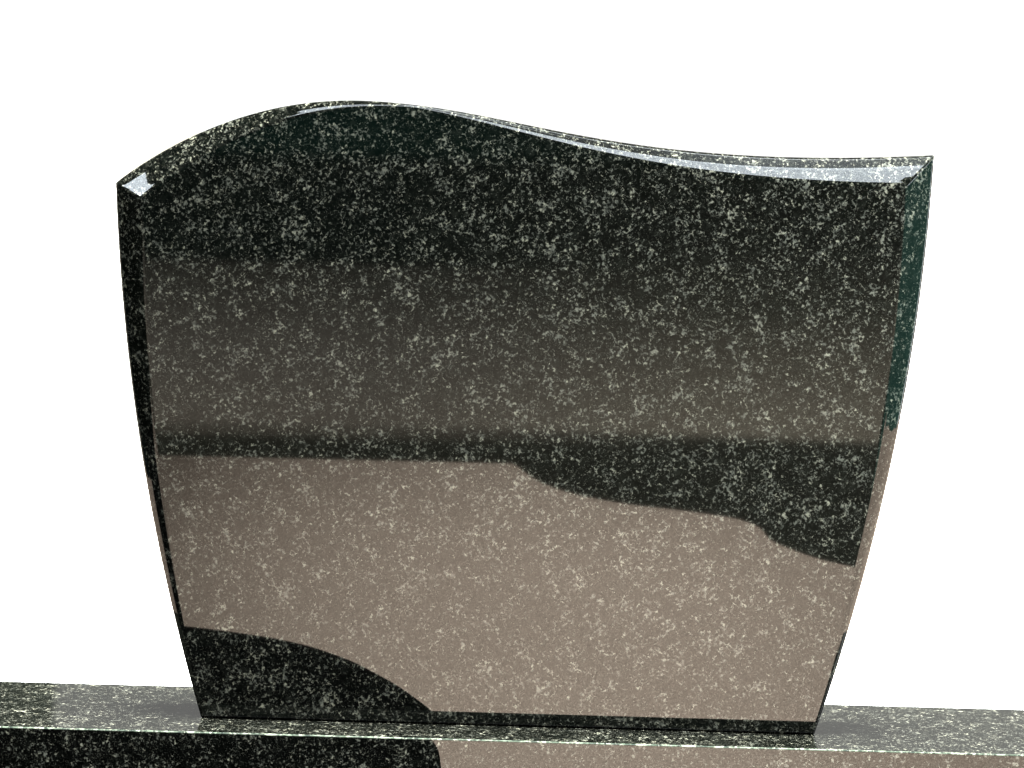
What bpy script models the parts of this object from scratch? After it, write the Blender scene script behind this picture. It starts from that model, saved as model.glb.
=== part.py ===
"""Polished granite headstone with a wave-shaped top, standing on a base slab.

Metres, +Z up, the front faces -Y. The origin is on the ground, under the middle of the base slab.
"""

import math

import bmesh
import bpy
from mathutils import Matrix, Vector

# Headstone: heights are above its own foot, X is across it, Y runs from front to back.
STONE_WIDTH = 0.804
STONE_FOOT_WIDTH = 0.606
STONE_THICKNESS = 0.080
WIDEST_HEIGHT = 0.636
LEFT_CORNER_HEIGHT = 0.525
RIGHT_CORNER_HEIGHT = 0.575
CREST_HEIGHT = 0.613
CREST_OFFSET = 0.161

# Wave: how far the curve keeps its direction at each corner and on both sides of the crest.
LEFT_CORNER_PULL = (0.073, 0.058)
CREST_PULL_LEFT = 0.082
CREST_PULL_RIGHT = 0.150
RIGHT_CORNER_PULL = (0.320, 0.025)

# Face bevel: widest at the top corners, run out to an arris at the foot and near the crest.
LEFT_BEVEL_WIDTH = 0.0265
RIGHT_BEVEL_WIDTH = 0.0275
CREST_BEVEL_WIDTH = 0.0020
FOOT_BEVEL_WIDTH = 0.0010
BEVEL_RUNOUT_OFFSET = 0.108
BEVEL_RUNOUT_POWER = 1.25
BEVEL_DEPTH_PER_WIDTH = 0.60
BEVEL_CROWN = 0.035
BACK_ARRIS = 0.0015

# Base slab under the headstone.
BASE_LENGTH = 1.200
BASE_DEPTH = 0.250
BASE_THICKNESS = 0.100
BASE_FRONT_LEDGE = 0.075
BASE_ARRIS = 0.0015
JOINT_GAP = 0.0003

# Steel dowels that pin the headstone to the base slab.
DOWEL_DIAMETER = 0.012
DOWEL_LENGTH = 0.120
DOWEL_IN_STONE = 0.050
DOWEL_SPACING = 0.300
DOWEL_CHAMFER = 0.001
DOWEL_CLEARANCE = 0.0005
DOWEL_END_ROOM = 0.002

# Facets along each edge of the outline and across the bevel.
SIDE_STEPS = 14
WAVE_STEPS = 34
FOOT_STEPS = 2
BEVEL_STEPS = 4
ARRIS_STEPS = 2
DOWEL_SIDES = 24

STONE_BOTTOM = BASE_THICKNESS + JOINT_GAP
STONE_FRONT = BASE_FRONT_LEDGE - BASE_DEPTH / 2
DOWEL_Y = STONE_FRONT + STONE_THICKNESS / 2
DOWEL_TOP = STONE_BOTTOM + DOWEL_IN_STONE
DOWEL_BOTTOM = DOWEL_TOP - DOWEL_LENGTH


def new_material(name, colour, roughness, metallic=0.0):
    material = bpy.data.materials.new(name)
    material.use_nodes = True
    shader = material.node_tree.nodes["Principled BSDF"]
    shader.inputs["Base Color"].default_value = (*colour, 1.0)
    shader.inputs["Roughness"].default_value = roughness
    shader.inputs["Metallic"].default_value = metallic
    return material


def add_piece(name, mesh, material):
    mesh.materials.append(material)
    piece = bpy.data.objects.new(name, mesh)
    bpy.context.scene.collection.objects.link(piece)
    return piece


class Edge:
    """One edge of the outline: its points, and the bevel width along it."""

    def __init__(self, point, width, steps):
        self.point = point
        self.width = width
        self.steps = steps

    def slope(self, t):
        step = 1e-4
        low = max(t - step, 0.0)
        high = min(t + step, 1.0)
        return (self.point(high) - self.point(low)) / (high - low)

    def outward(self, t):
        along = self.slope(t).normalized()
        return Vector((-along.y, along.x))


def side_half_width(height):
    drop = (STONE_WIDTH - STONE_FOOT_WIDTH) / 2
    radius = (WIDEST_HEIGHT**2 + drop**2) / (2 * drop)
    fall = radius - math.sqrt(radius**2 - (WIDEST_HEIGHT - height) ** 2)
    return STONE_WIDTH / 2 - fall


def side_point(sign, height):
    return Vector((sign * side_half_width(height), height))


def bezier(points, t):
    a, b, c, d = points
    s = 1.0 - t
    return a * s**3 + b * (3 * s * s * t) + c * (3 * s * t * t) + d * t**3


def wave_points():
    left = side_point(-1, LEFT_CORNER_HEIGHT)
    right = side_point(1, RIGHT_CORNER_HEIGHT)
    crest = Vector((-CREST_OFFSET, CREST_HEIGHT))
    rise = (left, left + Vector(LEFT_CORNER_PULL), crest - Vector((CREST_PULL_LEFT, 0.0)), crest)
    lowered = Vector((-RIGHT_CORNER_PULL[0], -RIGHT_CORNER_PULL[1]))
    fall = (crest, crest + Vector((CREST_PULL_RIGHT, 0.0)), right + lowered, right)
    return rise, fall


def wave_point(t):
    rise, fall = wave_points()
    share = (rise[3].x - rise[0].x) / (fall[3].x - rise[0].x)
    if t < share:
        return bezier(rise, t / share)
    return bezier(fall, (t - share) / (1.0 - share))


def wave_bevel_width(t):
    x = wave_point(t).x
    runout = -BEVEL_RUNOUT_OFFSET
    if x < runout:
        reach = (runout - x) / (runout - wave_point(0.0).x)
        return CREST_BEVEL_WIDTH + (LEFT_BEVEL_WIDTH - CREST_BEVEL_WIDTH) * reach**BEVEL_RUNOUT_POWER
    reach = (x - runout) / (wave_point(1.0).x - runout)
    return CREST_BEVEL_WIDTH + (RIGHT_BEVEL_WIDTH - CREST_BEVEL_WIDTH) * reach


def side_bevel_width(reach, top_width):
    return FOOT_BEVEL_WIDTH + (top_width - FOOT_BEVEL_WIDTH) * reach


def outline_edges():
    """Left side upward, wave to the right, right side downward, foot back to the left."""
    left = Edge(
        lambda t: side_point(-1, LEFT_CORNER_HEIGHT * t),
        lambda t: side_bevel_width(t, LEFT_BEVEL_WIDTH),
        SIDE_STEPS,
    )
    wave = Edge(wave_point, wave_bevel_width, WAVE_STEPS)
    right = Edge(
        lambda t: side_point(1, RIGHT_CORNER_HEIGHT * (1.0 - t)),
        lambda t: side_bevel_width(1.0 - t, RIGHT_BEVEL_WIDTH),
        SIDE_STEPS,
    )
    foot = Edge(
        lambda t: Vector((side_half_width(0.0) * (1.0 - 2.0 * t), 0.0)),
        lambda t: FOOT_BEVEL_WIDTH,
        FOOT_STEPS,
    )
    return [left, wave, right, foot]


def mitre(before, after, width_of):
    """The inner corner that lies both edges' widths inside the outer corner."""
    n0 = before.outward(1.0)
    n1 = after.outward(0.0)
    w0 = width_of(before, 1.0)
    w1 = width_of(after, 0.0)
    det = n0.x * n1.y - n0.y * n1.x
    inset = Vector(((-w0 * n1.y + w1 * n0.y) / det, (-w1 * n0.x + w0 * n1.x) / det))
    return after.point(0.0) + inset


def stations(edges, width_of):
    """For each outline point, its partner on the inset line and the inset's width there."""
    result = []
    corners = [mitre(edges[i - 1], edge, width_of) for i, edge in enumerate(edges)]
    for i, edge in enumerate(edges):
        start = edge.slope(0.0)
        end = edge.slope(1.0)
        first = (corners[i] - edge.point(0.0)).dot(start) / start.length_squared
        last = 1.0 + (corners[(i + 1) % len(edges)] - edge.point(1.0)).dot(end) / end.length_squared
        for step in range(edge.steps):
            t = step / edge.steps
            inner_t = first + (last - first) * t
            width = width_of(edge, inner_t if step else t)
            inner = edge.point(inner_t) - edge.outward(inner_t) * width
            if step == 0:
                inner = corners[i]
            result.append((edge.point(t), inner, width))
    return result


def ring(bm, points):
    verts = [bm.verts.new(p) for p in points]
    return [bm.edges.new((verts[i - 1], vert)) for i, vert in enumerate(verts)]


def headstone_mesh():
    edges = outline_edges()
    face = stations(edges, lambda edge, t: edge.width(t))
    back = stations(edges, lambda edge, t: BACK_ARRIS)
    bm = bmesh.new()
    rings = [
        ring(bm, [(inner.x, STONE_THICKNESS, inner.y) for _, inner, _ in back]),
        ring(bm, [(outer.x, STONE_THICKNESS - BACK_ARRIS, outer.y) for outer, _, _ in back]),
    ]
    for step in range(BEVEL_STEPS + 1):
        u = step / BEVEL_STEPS
        bulge = 4.0 * u * (1.0 - u) * BEVEL_CROWN
        points = []
        for outer, inner, width in face:
            inward = outer.lerp(inner, u) + (outer - inner) * bulge * BEVEL_DEPTH_PER_WIDTH
            depth = width * BEVEL_DEPTH_PER_WIDTH * (1.0 - u) - width * bulge
            points.append((inward.x, depth, inward.y))
        rings.append(ring(bm, points))
    for near, far in zip(rings, rings[1:]):
        bmesh.ops.bridge_loops(bm, edges=near + far)
    bmesh.ops.contextual_create(bm, geom=rings[0])
    bmesh.ops.contextual_create(bm, geom=rings[-1])
    bmesh.ops.recalc_face_normals(bm, faces=bm.faces)
    mesh = bpy.data.meshes.new("headstone")
    bm.to_mesh(mesh)
    bm.free()
    mesh.shade_smooth()
    mesh.set_sharp_from_angle(angle=math.radians(20))
    return mesh


def slab_mesh(name, length, depth, thickness):
    bm = bmesh.new()
    bmesh.ops.create_cube(bm, size=1.0, matrix=Matrix.Diagonal((length, depth, thickness, 1.0)))
    mesh = bpy.data.meshes.new(name)
    bm.to_mesh(mesh)
    bm.free()
    return mesh


def add_bevel(piece, width):
    bevel = piece.modifiers.new("arris", "BEVEL")
    bevel.width = width
    bevel.segments = ARRIS_STEPS
    bevel.limit_method = "ANGLE"


def add_slab(name, size, arris, material):
    slab = add_piece(name, slab_mesh(name, *size), material)
    slab.location.z = size[2] / 2
    add_bevel(slab, arris)
    return slab


def cylinder_mesh(name, radius, bottom, top):
    bm = bmesh.new()
    bmesh.ops.create_cone(
        bm,
        cap_ends=True,
        segments=DOWEL_SIDES,
        radius1=radius,
        radius2=radius,
        depth=top - bottom,
        matrix=Matrix.Translation((0.0, 0.0, (top + bottom) / 2)),
    )
    mesh = bpy.data.meshes.new(name)
    bm.to_mesh(mesh)
    bm.free()
    mesh.shade_smooth()
    mesh.set_sharp_from_angle(angle=math.radians(30))
    return mesh


def add_dowel(name, x):
    rod = cylinder_mesh(name, DOWEL_DIAMETER / 2, DOWEL_BOTTOM, DOWEL_TOP)
    dowel = add_piece(name, rod, new_material(name + "_steel", (0.55, 0.55, 0.56), 0.30, 1.0))
    dowel.location = (x, DOWEL_Y, 0.0)
    add_bevel(dowel, DOWEL_CHAMFER)


def drill(pieces, name, x):
    """Cut one dowel's hole in both stones that it joins."""
    radius = DOWEL_DIAMETER / 2 + DOWEL_CLEARANCE
    mesh = cylinder_mesh(name, radius, DOWEL_BOTTOM - JOINT_GAP, DOWEL_TOP + DOWEL_END_ROOM)
    drilling = bpy.data.objects.new(name, mesh)
    bpy.context.scene.collection.objects.link(drilling)
    drilling.location = (x, DOWEL_Y, 0.0)
    drilling.hide_render = True
    drilling.display_type = "WIRE"
    for piece in pieces:
        hole = piece.modifiers.new(name, "BOOLEAN")
        hole.operation = "DIFFERENCE"
        hole.solver = "EXACT"
        hole.object = drilling


for old in list(bpy.data.objects):
    bpy.data.objects.remove(old, do_unlink=True)

headstone = add_piece(
    "headstone", headstone_mesh(), new_material("headstone_granite", (0.017, 0.020, 0.015), 0.06)
)
headstone.location = (0.0, STONE_FRONT, STONE_BOTTOM)

base_slab = add_slab(
    "base_slab",
    (BASE_LENGTH, BASE_DEPTH, BASE_THICKNESS),
    BASE_ARRIS,
    new_material("base_granite", (0.019, 0.022, 0.017), 0.07),
)

for side, dowel_x in (("left", -DOWEL_SPACING / 2), ("right", DOWEL_SPACING / 2)):
    add_dowel("dowel_" + side, dowel_x)
    drill((headstone, base_slab), side + "_drilling", dowel_x)
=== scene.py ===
"""A polished granite headstone on its base slab, in a plain pale studio."""

import math

import bmesh
import bpy
from mathutils import Euler, Matrix, Vector


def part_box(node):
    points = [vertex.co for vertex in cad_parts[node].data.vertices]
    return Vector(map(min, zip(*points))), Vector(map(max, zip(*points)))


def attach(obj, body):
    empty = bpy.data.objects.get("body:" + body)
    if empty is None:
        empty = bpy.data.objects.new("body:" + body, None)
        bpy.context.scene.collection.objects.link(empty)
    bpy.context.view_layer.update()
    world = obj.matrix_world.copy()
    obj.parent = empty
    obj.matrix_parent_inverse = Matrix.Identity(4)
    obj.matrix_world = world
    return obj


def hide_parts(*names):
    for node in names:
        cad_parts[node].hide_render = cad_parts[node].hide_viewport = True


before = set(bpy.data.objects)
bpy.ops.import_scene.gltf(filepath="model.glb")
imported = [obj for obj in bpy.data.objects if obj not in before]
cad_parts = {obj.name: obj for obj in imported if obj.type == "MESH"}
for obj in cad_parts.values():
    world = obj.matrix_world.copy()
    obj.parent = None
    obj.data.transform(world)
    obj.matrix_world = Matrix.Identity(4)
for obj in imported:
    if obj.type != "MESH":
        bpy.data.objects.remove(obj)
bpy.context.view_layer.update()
bpy.ops.object.select_all(action="DESELECT")


# The headstone: one slab of dark green-black granite with pale feldspar flecks, sawn 80 mm thick,
# cut to its wave-shaped outline, ground to a bevel round the face and polished like glass.
# It stands on the base slab by its own weight and is pinned with two dowels.
stone_low, stone_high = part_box("headstone")
stone_front = stone_low.y
stone_foot = stone_low.z
stone_thickness = stone_high.y - stone_low.y
half_width = 0.402
half_foot = 0.303
widest_height = 0.636
left_corner_height = 0.525
right_corner_height = 0.575
crest = Vector((-0.161, 0.613))
left_corner_pull = Vector((0.073, 0.058))
crest_pull_left = Vector((0.082, 0))
crest_pull_right = Vector((0.150, 0))
right_corner_pull = Vector((0.320, 0.025))
left_bevel = 0.0265
right_bevel = 0.0275
crest_bevel = 0.0020
foot_bevel = 0.0024
runout = -0.108
side_radius = (widest_height**2 + (half_width - half_foot) ** 2) / (2 * (half_width - half_foot))


def side_point(sign, height):
    """A point on a side of the stone: both sides are arcs of one large circle."""
    fall = side_radius - math.sqrt(side_radius**2 - (widest_height - height) ** 2)
    return Vector((sign * (half_width - fall), height))


def bent(knots, t):
    """A point on one smooth curve of the wave, given by its ends and the pull at each."""
    a, b, c, d = knots
    s = 1 - t
    return a * s**3 + b * 3 * s * s * t + c * 3 * s * t * t + d * t**3


left_corner = side_point(-1, left_corner_height)
right_corner = side_point(1, right_corner_height)
rise = (left_corner, left_corner + left_corner_pull, crest - crest_pull_left, crest)
fall = (crest, crest + crest_pull_right, right_corner - right_corner_pull, right_corner)
crest_share = (crest.x - left_corner.x) / (right_corner.x - left_corner.x)


def wave_point(t):
    """A point on the wave, which rises from the left corner and falls to the right one."""
    if t < crest_share:
        return bent(rise, t / crest_share)
    return bent(fall, (t - crest_share) / (1 - crest_share))


def wave_bevel(t):
    """The bevel on the wave: wide at both corners, almost gone just right of the crest."""
    x = wave_point(t).x
    if x < runout:
        share = ((x - runout) / (left_corner.x - runout)) ** 1.25
        return crest_bevel + (left_bevel - crest_bevel) * share
    return crest_bevel + (right_bevel - crest_bevel) * (x - runout) / (right_corner.x - runout)


# Each edge of the outline: where it runs, how wide its bevel is, and how many steps it is cut in.
outline = [
    (
        lambda t: side_point(-1, left_corner_height * t),
        lambda t: foot_bevel + (left_bevel - foot_bevel) * t,
        44,
    ),
    (wave_point, wave_bevel, 120),
    (
        lambda t: side_point(1, right_corner_height * (1 - t)),
        lambda t: right_bevel - (right_bevel - foot_bevel) * t,
        44,
    ),
    (lambda t: Vector((half_foot * (1 - 2 * t), 0)), lambda t: foot_bevel, 4),
]


def direction(edge, t):
    """The way that an edge of the outline runs at one place."""
    point = outline[edge][0]
    return (point(t + 1e-4) - point(t - 1e-4)).normalized()


def outward(edge, t):
    """The way out of the stone at one place of an edge."""
    along = direction(edge, t)
    return Vector((-along.y, along.x))


def corner_inset(edge, first_width, second_width):
    """The corner before an edge, moved in by a width from each of its two sides."""
    n0 = outward(edge - 1, 1)
    n1 = outward(edge, 0)
    det = n0.x * n1.y - n0.y * n1.x
    inset = Vector((
        n0.y * second_width - n1.y * first_width,
        n1.x * first_width - n0.x * second_width,
    ))
    return outline[edge][0](0) + inset / det


# Every station round the outline has its point on the arris, its partner on the inner line of the
# bevel, and the width between the two. The four corners are eased with a 1 mm radius.
ease = 0.0010
stations = []
for edge, (point, bevel, steps) in enumerate(outline):
    after = (edge + 1) % 4
    w_start, w_before = bevel(0), outline[edge - 1][1](1)
    w_end, w_after = bevel(1), outline[after][1](0)
    n0, n1 = outward(edge - 1, 1), outward(edge, 0)
    arris_centre = corner_inset(edge, ease, ease)
    inner_centre = corner_inset(edge, w_before + ease, w_start + ease)
    for k in range(5):
        turned = (n0 * (4 - k) + n1 * k).normalized() * ease
        stations.append((arris_centre + turned, inner_centre + turned, (w_before + w_start) / 2))
    inner_from = corner_inset(edge, w_before, w_start) - point(0)
    inner_to = corner_inset(after, w_end, w_after) - point(1)
    length_start = (point(1e-3) - point(0)).length * 1e3
    length_end = (point(1) - point(1 - 1e-3)).length * 1e3
    t_from = (inner_from.dot(direction(edge, 0)) + ease) / length_start
    t_to = 1 + (inner_to.dot(direction(edge, 1)) - ease) / length_end
    t_first, t_last = ease * 1.5 / length_start, 1 - ease * 1.5 / length_end
    for step in range(steps + 1):
        share = step / steps
        t = t_first + (t_last - t_first) * share
        t_in = t_from + (t_to - t_from) * share
        width = bevel(min(max(t_in, 0), 1))
        stations.append((point(t), point(t_in) - outward(edge, t_in) * width, width))


def eased(start, corner, end, steps):
    """A rounded turn from one line to another, as points of inset and depth."""
    for k in range(steps + 1):
        t = k / steps
        yield tuple(
            a * (1 - t) ** 2 + b * 2 * t * (1 - t) + c * t * t
            for a, b, c in zip(start, corner, end)
        )


def profile(width):
    """Back arris, wall, front arris, crowned bevel and the soft turn into the polished face."""
    back = 0.0015
    deep = width * (0.98 - 15.5 * width)
    lean = Vector((width, -deep)).normalized()
    arris = min(0.0046, 0.0006 + 0.40 * width)
    turn = min(0.0032, 0.24 * width)
    outer = Vector((0, deep))
    inner = Vector((width, 0))
    points = list(
        eased((back, stone_thickness), (0, stone_thickness), (0, stone_thickness - back), 4)
    )
    points += eased((0, deep + arris), outer, outer + lean * arris, 8)
    crown_from, crown_to = outer + lean * arris, inner - lean * turn
    for k in range(1, 6):
        t = k / 6
        bulge = Vector((-lean.y, lean.x)) * -0.14 * width * t * (1 - t)
        points.append(crown_from.lerp(crown_to, t) + bulge)
    points += eased(crown_to, inner, (width + turn, 0), 6)
    return points


bpy.ops.mesh.primitive_circle_add(vertices=len(stations), radius=0.4, location=(0, 0, 0))
headstone = bpy.context.object
headstone.name = "headstone_polished"
stone_mesh = headstone.data
bpy.ops.object.mode_set(mode="EDIT")
stone_bm = bmesh.from_edit_mesh(stone_mesh)
stone_bm.verts.ensure_lookup_table()
place = stone_bm.verts.layers.int.new("station")
for vert in stone_bm.verts:
    vert[place] = vert.index
profiles = [profile(width) for _, _, width in stations]
for ring in range(len(profiles[0])):
    if ring:
        bpy.ops.mesh.extrude_region_move()
        stone_bm = bmesh.from_edit_mesh(stone_mesh)
        place = stone_bm.verts.layers.int["station"]
    for vert in stone_bm.verts:
        if vert.select:
            arris_point, inner_point, width = stations[vert[place]]
            inset, depth = profiles[vert[place]][ring]
            flat = arris_point.lerp(inner_point, inset / width)
            vert.co = (flat.x, stone_front + depth, stone_foot + flat.y)
    bmesh.update_edit_mesh(stone_mesh)
bpy.ops.mesh.edge_face_add()
bpy.ops.mesh.select_all(action="DESELECT")
bpy.ops.mesh.select_mode(type="EDGE")
stone_bm = bmesh.from_edit_mesh(stone_mesh)
for edge in stone_bm.edges:
    edge.select_set(edge.is_boundary)
stone_bm.select_flush_mode()
bmesh.update_edit_mesh(stone_mesh)
bpy.ops.mesh.edge_face_add()
bpy.ops.mesh.select_all(action="SELECT")
bpy.ops.mesh.normals_make_consistent(inside=False)
bpy.ops.object.mode_set(mode="OBJECT")


hole_radius = 0.0065
room_over_dowel = 0.0020
room_under_dowel = 0.0003


def drill_for_dowels(piece):
    """Two blind holes of 13 mm for the 12 mm dowels, cut where the dowels stand."""
    for dowel in ("dowel_left", "dowel_right"):
        low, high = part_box(dowel)
        centre = (low + high) / 2
        bpy.ops.mesh.primitive_cylinder_add(
            vertices=32,
            radius=hole_radius,
            depth=high.z - low.z + room_over_dowel + room_under_dowel,
            location=(centre.x, centre.y, centre.z + (room_over_dowel - room_under_dowel) / 2),
        )
        drill = bpy.context.object
        hole = piece.modifiers.new("dowel_hole", "BOOLEAN")
        hole.solver = "EXACT"
        hole.object = drill
        bpy.ops.object.select_all(action="DESELECT")
        piece.select_set(True)
        bpy.context.view_layer.objects.active = piece
        bpy.ops.object.modifier_apply(modifier="dowel_hole")
        bpy.data.objects.remove(drill, do_unlink=True)


def polish_shading(piece):
    """Flat faces stay optically flat, and the rounded arrises turn smoothly into them."""
    bpy.ops.object.shade_smooth_by_angle(angle=math.radians(38))
    normals = piece.modifiers.new("flat_faces", "WEIGHTED_NORMAL")
    normals.keep_sharp = True
    normals.weight = 100
    bpy.ops.object.modifier_apply(modifier="flat_faces")


drill_for_dowels(headstone)
polish_shading(headstone)


def granite(name, shift, polish, pale=1.0, sparse=0.0, ground_gain=1.0):
    """Polished dark granite: black-green ground, pale olive flecks in loose clusters, dust."""
    material = bpy.data.materials.new(name)
    material.use_nodes = True
    nodes = material.node_tree.nodes
    links = material.node_tree.links
    shader = nodes["Principled BSDF"]
    shader.inputs["IOR"].default_value = 1.6
    shader.inputs["Roughness"].default_value = polish

    coordinates = nodes.new("ShaderNodeTexCoord")
    placed = nodes.new("ShaderNodeMapping")
    placed.inputs["Location"].default_value = shift
    placed.inputs["Rotation"].default_value = (0.35, 0.62, 0.21)
    links.new(coordinates.outputs["Object"], placed.inputs["Vector"])

    def grain(scale, detail, roughness, source):
        noise = nodes.new("ShaderNodeTexNoise")
        noise.inputs["Scale"].default_value = scale
        noise.inputs["Detail"].default_value = detail
        noise.inputs["Roughness"].default_value = roughness
        links.new(source, noise.inputs["Vector"])
        return noise

    def calculate(operation, first, second, third=None):
        node = nodes.new("ShaderNodeMath")
        node.operation = operation
        for socket, value in zip(node.inputs, (first, second, third)):
            if isinstance(value, (int, float)):
                socket.default_value = value
            elif value is not None:
                links.new(value, socket)
        return node.outputs["Value"]

    def between(value, low, high):
        edge = nodes.new("ShaderNodeMapRange")
        edge.interpolation_type = "SMOOTHSTEP"
        edge.inputs["From Min"].default_value = low
        edge.inputs["From Max"].default_value = high
        links.new(value, edge.inputs["Value"])
        return edge.outputs["Result"]

    def tones(value, gain, stops):
        ramp = nodes.new("ShaderNodeValToRGB")
        elements = ramp.color_ramp.elements
        for k, (position, colour) in enumerate(stops):
            if k < 2:
                elements[k].position = position
                element = elements[k]
            else:
                element = elements.new(position)
            element.color = (*(gain * part for part in colour), 1)
        links.new(value, ramp.inputs["Fac"])
        return ramp.outputs["Color"]

    wander = grain(330, 2, 0.5, placed.outputs["Vector"])
    warp = nodes.new("ShaderNodeVectorMath")
    warp.operation = "MULTIPLY_ADD"
    warp.inputs[1].default_value = (0.0030, 0.0030, 0.0030)
    links.new(wander.outputs["Color"], warp.inputs[0])
    links.new(placed.outputs["Vector"], warp.inputs[2])
    bent_grain = warp.outputs["Vector"]

    flecks = grain(300, 6, 0.70, bent_grain).outputs["Fac"]
    clusters = grain(62, 3, 0.6, placed.outputs["Vector"]).outputs["Fac"]
    fleck_field = calculate("MULTIPLY_ADD", clusters, 0.34, flecks)
    strong = between(fleck_field, 0.695 + sparse, 0.815 + sparse)
    dust = grain(820, 2, 0.5, placed.outputs["Vector"]).outputs["Fac"]
    faint = calculate("MULTIPLY", between(dust, 0.53, 0.80), 0.34)
    cover = calculate("MAXIMUM", strong, faint)

    grains = nodes.new("ShaderNodeTexVoronoi")
    grains.inputs["Scale"].default_value = 240
    links.new(bent_grain, grains.inputs["Vector"])
    grain_tone = nodes.new("ShaderNodeSeparateColor")
    links.new(grains.outputs["Color"], grain_tone.inputs["Color"])
    ground = tones(grain_tone.outputs["Red"], ground_gain, [
        (0.0, (0.0006, 0.0008, 0.0006)),
        (0.6, (0.0018, 0.0023, 0.0016)),
        (0.9, (0.0052, 0.0060, 0.0045)),
        (1.0, (0.0120, 0.0126, 0.0096)),
    ])
    feldspar = tones(grain_tone.outputs["Green"], pale, [
        (0.0, (0.060, 0.061, 0.050)),
        (0.5, (0.131, 0.131, 0.106)),
        (0.85, (0.194, 0.188, 0.146)),
        (1.0, (0.285, 0.275, 0.208)),
    ])
    mixed = nodes.new("ShaderNodeMix")
    mixed.data_type = "RGBA"
    links.new(cover, mixed.inputs["Factor"])
    links.new(ground, mixed.inputs["A"])
    links.new(feldspar, mixed.inputs["B"])
    links.new(mixed.outputs["Result"], shader.inputs["Base Color"])

    mottle = nodes.new("ShaderNodeMapRange")
    mottle.inputs["From Min"].default_value = 0.32
    mottle.inputs["From Max"].default_value = 0.68
    mottle.inputs["To Min"].default_value = 0.36
    mottle.inputs["To Max"].default_value = 0.61
    links.new(dust, mottle.inputs["Value"])
    sheen_of_grain = calculate("MULTIPLY_ADD", strong, 0.13, mottle.outputs["Result"])
    links.new(sheen_of_grain, shader.inputs["Specular IOR Level"])
    return material


stone_mesh.materials.append(granite("headstone_granite", (0.13, 0.42, 0.27), 0.02))
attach(headstone, "root")
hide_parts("headstone")


# The base slab: a 100 mm block of the same granite under the headstone, sawn square, polished on
# its top and sides, with a fine arris ground along every edge. It carries the whole weight.
slab_low, slab_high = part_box("base_slab")
bpy.ops.object.select_all(action="DESELECT")
bpy.ops.mesh.primitive_cube_add(size=1, location=(0, 0, 0))
base_slab = bpy.context.object
base_slab.name = "base_slab_polished"
slab_shift = (0.71, 0.18, 0.55)
slab_arris = 0.0015
# Painted light: the slab's flecks are painted 1.6 times paler than the headstone's, for the
# stronger light on its top.
base_slab.data.materials.append(
    granite("base_slab_granite_painted_paler", slab_shift, polish=0.03, pale=1.6, sparse=0.015)
)
base_slab.data.materials.append(
    granite("ground_arris", slab_shift, polish=0.3, pale=2.0, ground_gain=35)
)
bpy.ops.object.mode_set(mode="EDIT")
bpy.ops.mesh.select_all(action="SELECT")
bpy.ops.transform.resize(value=slab_high - slab_low)
bpy.ops.transform.translate(value=(slab_low + slab_high) / 2)
bpy.ops.mesh.bevel(offset=slab_arris, segments=4, profile=0.6, affect="EDGES", material=1)
bpy.ops.object.mode_set(mode="OBJECT")
drill_for_dowels(base_slab)
polish_shading(base_slab)
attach(base_slab, "root")
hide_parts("base_slab")


# The dowels: two cut lengths of stainless rod, set in the drilled holes before the stones are
# lowered on to each other. They are hidden once the stone stands.
dowel_steel = bpy.data.materials.new("dowel_rod_steel")
dowel_steel.use_nodes = True
steel_nodes = dowel_steel.node_tree.nodes
steel_links = dowel_steel.node_tree.links
steel = steel_nodes["Principled BSDF"]
steel.inputs["Metallic"].default_value = 1.0
steel.inputs["Base Color"].default_value = (0.55, 0.55, 0.56, 1)
steel_coordinates = steel_nodes.new("ShaderNodeTexCoord")
drawn = steel_nodes.new("ShaderNodeMapping")
drawn.inputs["Scale"].default_value = (900, 900, 12)
steel_links.new(steel_coordinates.outputs["Object"], drawn.inputs["Vector"])
draw_lines = steel_nodes.new("ShaderNodeTexNoise")
draw_lines.inputs["Scale"].default_value = 1.0
steel_links.new(drawn.outputs["Vector"], draw_lines.inputs["Vector"])
steel_roughness = steel_nodes.new("ShaderNodeMapRange")
steel_roughness.inputs["To Min"].default_value = 0.22
steel_roughness.inputs["To Max"].default_value = 0.42
steel_links.new(draw_lines.outputs["Fac"], steel_roughness.inputs["Value"])
steel_links.new(steel_roughness.outputs["Result"], steel.inputs["Roughness"])
for name in ("dowel_left", "dowel_right"):
    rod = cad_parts[name]
    rod.data.materials.clear()
    rod.data.materials.append(dowel_steel)


# The camera: a long lens from just under five metres, a little above the stone's top, with the
# slight tilt of a hand-held shot.
camera_away = 4.90
camera_height = 0.9064
look_down = math.radians(6.592)
look_right = math.radians(0.447)
roll = math.radians(1.674)
focal_pixels = 5035.7
frame_pixels = 1024
bpy.ops.object.camera_add(
    location=(-0.0440, stone_front - camera_away, stone_foot + camera_height)
)
camera = bpy.context.object
camera.data.sensor_width = 36
camera.data.lens = focal_pixels / frame_pixels * camera.data.sensor_width
aim = Euler((math.radians(90) - look_down, 0, -look_right)).to_matrix()
camera.rotation_euler = (aim @ Matrix.Rotation(roll, 3, "Z")).to_euler()
bpy.context.scene.camera = camera


# The floor: a plain pale studio floor. Its bounce would flatten the dark stone, so the stone is lit
# by the lights alone.
bpy.ops.mesh.primitive_plane_add(size=60, location=(0, 0, 0))
floor = bpy.context.object
floor.name = "studio_floor"
bpy.ops.object.mode_set(mode="EDIT")
bpy.ops.transform.translate(value=(0, 0, -0.0005))
bpy.ops.object.mode_set(mode="OBJECT")
floor_paint = bpy.data.materials.new("floor_paint")
floor_paint.use_nodes = True
floor_shader = floor_paint.node_tree.nodes["Principled BSDF"]
floor_shader.inputs["Base Color"].default_value = (0.88, 0.86, 0.84, 1)
floor_shader.inputs["Roughness"].default_value = 0.9
floor_shader.inputs["Specular IOR Level"].default_value = 0.0
floor.data.materials.append(floor_paint)
floor.visible_glossy = False
floor.visible_diffuse = False
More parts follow.
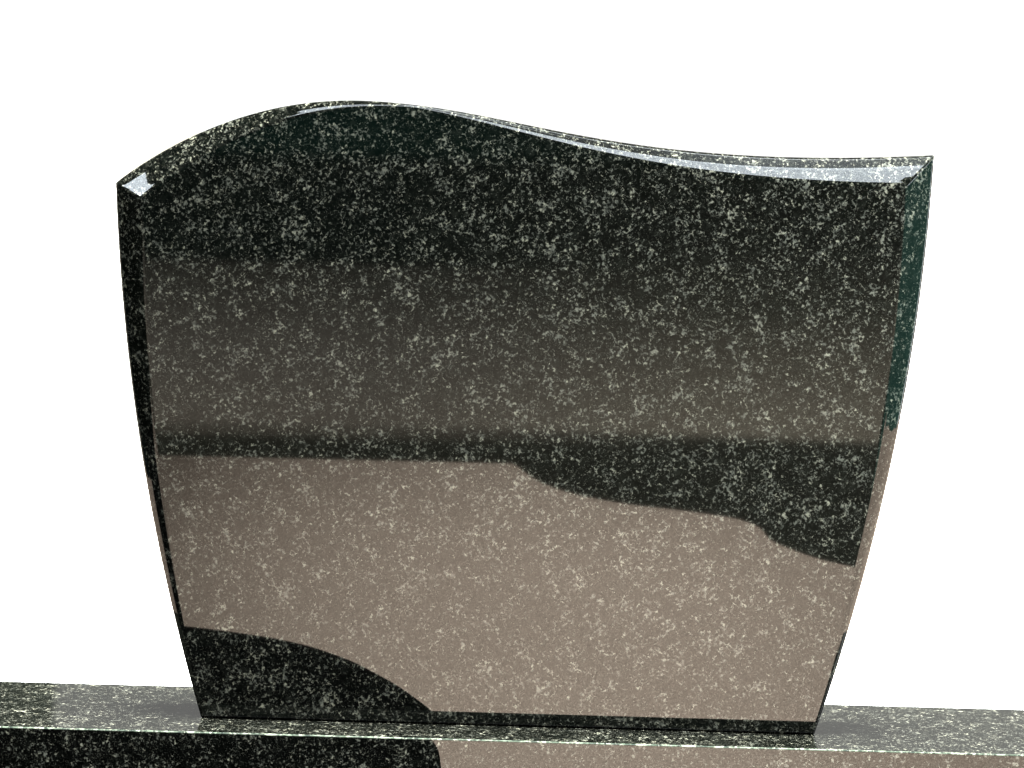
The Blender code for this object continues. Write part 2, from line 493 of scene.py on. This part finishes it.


# What the polish mirrors, seen only in reflections: a warm sheet on the floor that glows by itself,
# a painted reflection of lit ground cut along a curve at its far side, and a dark board with a
# rounded corner close to the front of the base slab, a painted dark reflection.
def mirrored_sheet(name, rim_knots, height, paint, drop=0):
    """A sheet or board cut along a curve and seen only in reflections; a knot with a third value is
    a square corner.
    """
    bpy.ops.curve.primitive_bezier_circle_add(location=(0, 0, 0))
    sheet = bpy.context.object
    sheet.name = name
    sheet.data.dimensions = "2D"
    sheet.data.fill_mode = "BOTH"
    sheet.data.resolution_u = 16
    rim = sheet.data.splines[0]
    rim.bezier_points.add(len(rim_knots) - 4)
    for knot, place in zip(rim.bezier_points, rim_knots):
        knot.co = (place[0], place[1], 0)
        knot.handle_left_type = knot.handle_right_type = "VECTOR" if len(place) > 2 else "AUTO"
    bpy.ops.object.convert(target="MESH")
    bpy.ops.object.mode_set(mode="EDIT")
    bpy.ops.mesh.select_all(action="SELECT")
    bpy.ops.transform.translate(value=(0, 0, height))
    if drop:
        bpy.ops.mesh.extrude_region_move(TRANSFORM_OT_translate={"value": (0, 0, -drop)})
    bpy.ops.object.mode_set(mode="OBJECT")
    sheet.data.materials.append(paint)
    sheet.visible_camera = False
    sheet.visible_diffuse = False
    sheet.visible_shadow = False


# Painted reflection: no lamp lights this sheet. It glows by itself, and its glow paints lit ground
# into the polish.
glow_sheet_paint = bpy.data.materials.new("painted_ground_glow")
glow_sheet_paint.use_nodes = True
glow_nodes = glow_sheet_paint.node_tree.nodes
glow_links = glow_sheet_paint.node_tree.links
glow_nodes.clear()
glow_place = glow_nodes.new("ShaderNodeTexCoord")
glow_parts = glow_nodes.new("ShaderNodeSeparateXYZ")
glow_links.new(glow_place.outputs["Object"], glow_parts.inputs["Vector"])
# Painted falloff: the glow is made dimmer across the sheet and away from the stone, as light on the
# ground falls away.
painted_falloffs = []
brightest_share = 1.1
glow_strength = 5.1
for output, low, high, stops in (
    (
        "X",
        -0.60,
        2.00,
        (
            (0.023, 0.28),
            (0.069, 0.47),
            (0.138, 0.73),
            (0.208, 0.88),
            (0.30, 1.0),
            (0.39, 0.86),
            (0.62, 0.60),
            (1.0, 0.46),
        ),
    ),
    ("Y", -3.00, 0.00, ((0.05, 0.62), (0.25, 0.85), (0.45, 1.0), (0.75, 1.0), (0.90, 1.08))),
):
    span = glow_nodes.new("ShaderNodeMapRange")
    span.inputs["From Min"].default_value = low
    span.inputs["From Max"].default_value = high
    glow_links.new(glow_parts.outputs[output], span.inputs["Value"])
    fall_tone = glow_nodes.new("ShaderNodeValToRGB")
    fall_tone.color_ramp.interpolation = "B_SPLINE"
    for k, (position, value) in enumerate(stops):
        if k < 2:
            element = fall_tone.color_ramp.elements[k]
            element.position = position
        else:
            element = fall_tone.color_ramp.elements.new(position)
        element.color = (*(value / brightest_share,) * 3, 1)
    glow_links.new(span.outputs["Result"], fall_tone.inputs["Fac"])
    painted_falloffs.append(fall_tone.outputs["Color"])
painted_falloff = glow_nodes.new("ShaderNodeMix")
painted_falloff.data_type = "RGBA"
painted_falloff.blend_type = "MULTIPLY"
painted_falloff.inputs["Factor"].default_value = 1
glow_links.new(painted_falloffs[0], painted_falloff.inputs["A"])
glow_links.new(painted_falloffs[1], painted_falloff.inputs["B"])
glow_warmth = glow_nodes.new("ShaderNodeMix")
glow_warmth.data_type = "RGBA"
glow_warmth.blend_type = "MULTIPLY"
glow_warmth.inputs["Factor"].default_value = 1
glow_warmth.inputs["B"].default_value = (1.0, 0.825, 0.665, 1)
glow_links.new(painted_falloff.outputs["Result"], glow_warmth.inputs["A"])
sheet_glow = glow_nodes.new("ShaderNodeEmission")
sheet_glow.inputs["Strength"].default_value = glow_strength * brightest_share**2
glow_links.new(glow_warmth.outputs["Result"], sheet_glow.inputs["Color"])
glow_output = glow_nodes.new("ShaderNodeOutputMaterial")
glow_links.new(sheet_glow.outputs["Emission"], glow_output.inputs["Surface"])
mirrored_sheet(
    "glowing_reflection_sheet",
    [(-1.50, -2.74, 1), (0.020, -2.800, 1), (0.089, -2.517), (0.175, -2.395), (0.288, -2.314),
     (0.343, -2.254), (0.387, -2.018), (0.483, -1.826), (0.75, -1.66), (2.02, -1.55, 1),
     (2.02, 1.10, 1), (-1.50, 1.10, 1)],
    0.0,
    glow_sheet_paint,
)

# Painted reflection: a black board that no lamp lights and only the polish sees. It puts a dark
# patch in the lower left of the face.
dark_reflection_paint = bpy.data.materials.new("dark_reflection_board")
dark_reflection_paint.use_nodes = True
dark_reflection_shader = dark_reflection_paint.node_tree.nodes["Principled BSDF"]
dark_reflection_shader.inputs["Base Color"].default_value = (0.002, 0.002, 0.002, 1)
dark_reflection_shader.inputs["Specular IOR Level"].default_value = 0.0
mirrored_sheet(
    "dark_reflection_board",
    [(-0.064, -0.126, 1), (-0.072, -0.255), (-0.096, -0.362), (-0.135, -0.489), (-0.194, -0.627),
     (-0.252, -0.705), (-0.311, -0.749), (-0.369, -0.781), (-0.70, -0.92), (-1.55, -1.05, 1),
     (-1.55, -0.126, 1)],
    0.0703,
    dark_reflection_paint,
    drop=0.0690,
)


# The room: a plain white studio to the eye. In the polish it is a dim room in soft bands, dark at
# the top and paler towards the floor, with a bright strip overhead that the front arris catches.
world = bpy.data.worlds.new("studio")
bpy.context.scene.world = world
world.use_nodes = True
sky = world.node_tree.nodes
sky_links = world.node_tree.links
sky.clear()
direction_in_room = sky.new("ShaderNodeTexCoord")
parts = sky.new("ShaderNodeSeparateXYZ")
sky_links.new(direction_in_room.outputs["Generated"], parts.inputs["Vector"])
room_gain = 30


def tone_by(output, low, high, stops):
    """A run of tones over one part of the direction."""
    span = sky.new("ShaderNodeMapRange")
    span.inputs["From Min"].default_value = low
    span.inputs["From Max"].default_value = high
    sky_links.new(parts.outputs[output], span.inputs["Value"])
    tone = sky.new("ShaderNodeValToRGB")
    elements = tone.color_ramp.elements
    for k, (value, colour) in enumerate(stops):
        position = (value - low) / (high - low)
        if k < 2:
            elements[k].position = position
            element = elements[k]
        else:
            element = elements.new(position)
        element.color = (*(part / room_gain for part in colour), 1)
    sky_links.new(span.outputs["Result"], tone.inputs["Fac"])
    return tone.outputs["Color"]


def blend_by(output, low, high, first, second):
    """One tone up to a part of the direction and another past it."""
    share = sky.new("ShaderNodeMapRange")
    share.inputs["From Min"].default_value = low
    share.inputs["From Max"].default_value = high
    sky_links.new(parts.outputs[output], share.inputs["Value"])
    mix = sky.new("ShaderNodeMix")
    mix.data_type = "RGBA"
    sky_links.new(share.outputs["Result"], mix.inputs["Factor"])
    for colour, socket in ((first, mix.inputs["A"]), (second, mix.inputs["B"])):
        if isinstance(colour, tuple):
            socket.default_value = (*(part / room_gain for part in colour), 1)
        else:
            sky_links.new(colour, socket)
    return mix.outputs["Result"]


front_left = tone_by("Z", -0.14, 0.0, [
    (-0.1266, (0.20, 0.20, 0.15)),
    (-0.1258, (0.74, 0.66, 0.52)),
    (-0.1240, (0.84, 0.74, 0.60)),
    (-0.1236, (1.22, 1.07, 0.87)),
    (-0.110, (0.90, 0.81, 0.68)),
    (-0.095, (0.36, 0.34, 0.28)),
    (-0.0925, (0.30, 0.28, 0.23)),
    (-0.0915, (0.03, 0.05, 0.04)),
    (-0.072, (0.03, 0.05, 0.04)),
    (-0.069, (0.03, 0.13, 0.10)),
    (-0.02, (0.03, 0.10, 0.08)),
])
front_right = tone_by("Z", -0.14, 0.0, [
    (-0.1245, (0.26, 0.26, 0.20)),
    (-0.1235, (1.80, 1.60, 1.25)),
    (-0.115, (1.35, 1.20, 0.94)),
    (-0.098, (0.42, 0.40, 0.31)),
    (-0.085, (0.14, 0.14, 0.11)),
    (-0.070, (0.07, 0.08, 0.06)),
    (-0.02, (0.02, 0.05, 0.045)),
])
front = blend_by("X", -0.02, 0.05, front_left, front_right)
front = blend_by("X", -0.45, -0.30, (0.01, 0.015, 0.01), front)
front = blend_by("X", 0.30, 0.45, front, (0.24, 0.60, 0.48))
high_up = tone_by("Z", 0.0, 1.0, [
    (0.0, (0.02, 0.05, 0.045)),
    (0.50, (0.03, 0.05, 0.05)),
    (0.84, (0.05, 0.08, 0.08)),
    (0.87, (1.9, 2.1, 2.2)),
    (1.0, (1.9, 2.1, 2.2)),
])
overhead_strip = blend_by("Z", 0.60, 0.70, (0.05, 0.08, 0.08), (7.5, 8.0, 8.2))
front_up = blend_by("X", -0.02, 0.04, (0.04, 0.06, 0.06), high_up)
dimmer_up = blend_by("Z", 0.80, 0.87, high_up, (0.60, 0.66, 0.70))
front_up = blend_by("X", 0.11, 0.19, front_up, dimmer_up)
overhead_strip = blend_by("X", 0.0, 0.04, (0.04, 0.06, 0.06), overhead_strip)
overhead_strip = blend_by("X", 0.11, 0.19, overhead_strip, (5.0, 5.4, 5.5))
behind = tone_by("Z", 0.0, 1.0, [
    (0.0, (1.3, 1.3, 1.3)),
    (0.10, (1.3, 1.3, 1.3)),
    (0.16, (0.42, 0.42, 0.40)),
    (0.30, (0.30, 0.30, 0.30)),
    (0.90, (0.15, 0.15, 0.15)),
])
dimmer_behind = blend_by("Z", 0.13, 0.16, behind, (0.34, 0.34, 0.33))
behind = blend_by("X", -0.04, 0.04, dimmer_behind, behind)
behind_left = blend_by("Z", 0.10, 0.14, behind, (0.05, 0.06, 0.05))
behind = blend_by("X", -0.0818, -0.0798, behind_left, behind)
behind = blend_by("Z", -0.001, 0.0, (1.30, 1.20, 1.02), behind)
front_whole = blend_by("Z", -0.001, 0.001, front, front_up)
front_whole = blend_by("Y", 0.03, 0.05, front_whole, overhead_strip)
mirrored_room = blend_by("Y", 0.25, 0.30, front_whole, behind)

rays = sky.new("ShaderNodeLightPath")
mirror_light = sky.new("ShaderNodeBackground")
mirror_light.inputs["Strength"].default_value = room_gain
sky_links.new(mirrored_room, mirror_light.inputs["Color"])
seen_white = sky.new("ShaderNodeBackground")
seen_white.inputs["Strength"].default_value = 1.6
ambient = sky.new("ShaderNodeBackground")
ambient.inputs["Strength"].default_value = 0.06
seen_or_lit = sky.new("ShaderNodeMixShader")
sky_links.new(rays.outputs["Is Camera Ray"], seen_or_lit.inputs["Fac"])
sky_links.new(ambient.outputs["Background"], seen_or_lit.inputs[1])
sky_links.new(seen_white.outputs["Background"], seen_or_lit.inputs[2])
mirrored_or_not = sky.new("ShaderNodeMixShader")
sky_links.new(rays.outputs["Is Glossy Ray"], mirrored_or_not.inputs["Fac"])
sky_links.new(seen_or_lit.outputs["Shader"], mirrored_or_not.inputs[1])
sky_links.new(mirror_light.outputs["Background"], mirrored_or_not.inputs[2])
sky_output = sky.new("ShaderNodeOutputWorld")
sky_links.new(mirrored_or_not.outputs["Shader"], sky_output.inputs["Surface"])


# The lights: broad soft daylight from straight above, a large soft box high in front and a narrow
# one high on the left, which the bevel mirrors, and a small fill from the right.
bpy.ops.object.light_add(type="SUN", location=(0, 0, 4))
daylight = bpy.context.object
daylight.name = "soft_daylight"
daylight.data.energy = 24
daylight.data.color = (0.96, 1.0, 1.0)
daylight.data.angle = math.radians(14)
daylight.visible_glossy = False


def soft_box(name, target, towards, distance, along, size, glow):
    """A soft box seen from a spot on the stone in one direction, turned to face that spot."""
    away = Vector(towards).normalized()
    across = Vector(along) - Vector(along).dot(away) * away
    across.normalize()
    bpy.ops.object.light_add(type="AREA", location=Vector(target) + away * distance)
    box = bpy.context.object
    box.name = name
    box.data.shape = "RECTANGLE"
    box.data.size = size[0]
    box.data.size_y = size[1]
    box.data.energy = glow * math.pi * size[0] * size[1]
    box.rotation_euler = Matrix((across, away.cross(across), away)).transposed().to_euler()
    box.visible_camera = False
    box.data.color = (0.86, 0.94, 1.0)


soft_box(
    "front_box",
    target=(-0.10, -0.05, 0.67),
    towards=(0, -0.616, 0.788),
    distance=2.6,
    along=(1, 0, 0),
    size=(1.70, 1.11),
    glow=9.0,
)
soft_box(
    "left_box",
    target=(-0.375, -0.044, 0.63),
    towards=(-0.627, -0.551, 0.553),
    distance=4.0,
    along=(0.299, -0.812, -0.501),
    size=(2.1, 0.41),
    glow=11.5,
)
soft_box(
    "side_fill",
    target=(0.10, -0.05, 0.45),
    towards=(0.65, -0.70, 0.30),
    distance=1.0,
    along=(0, 0, 1),
    size=(0.4, 0.4),
    glow=26,
)
bpy.context.object.visible_glossy = False

bpy.context.scene.view_settings.view_transform = "Standard"
bpy.context.scene.view_settings.exposure = 0.27
bpy.context.scene.view_settings.gamma = 0.9
bpy.context.scene.view_settings.look = "None"
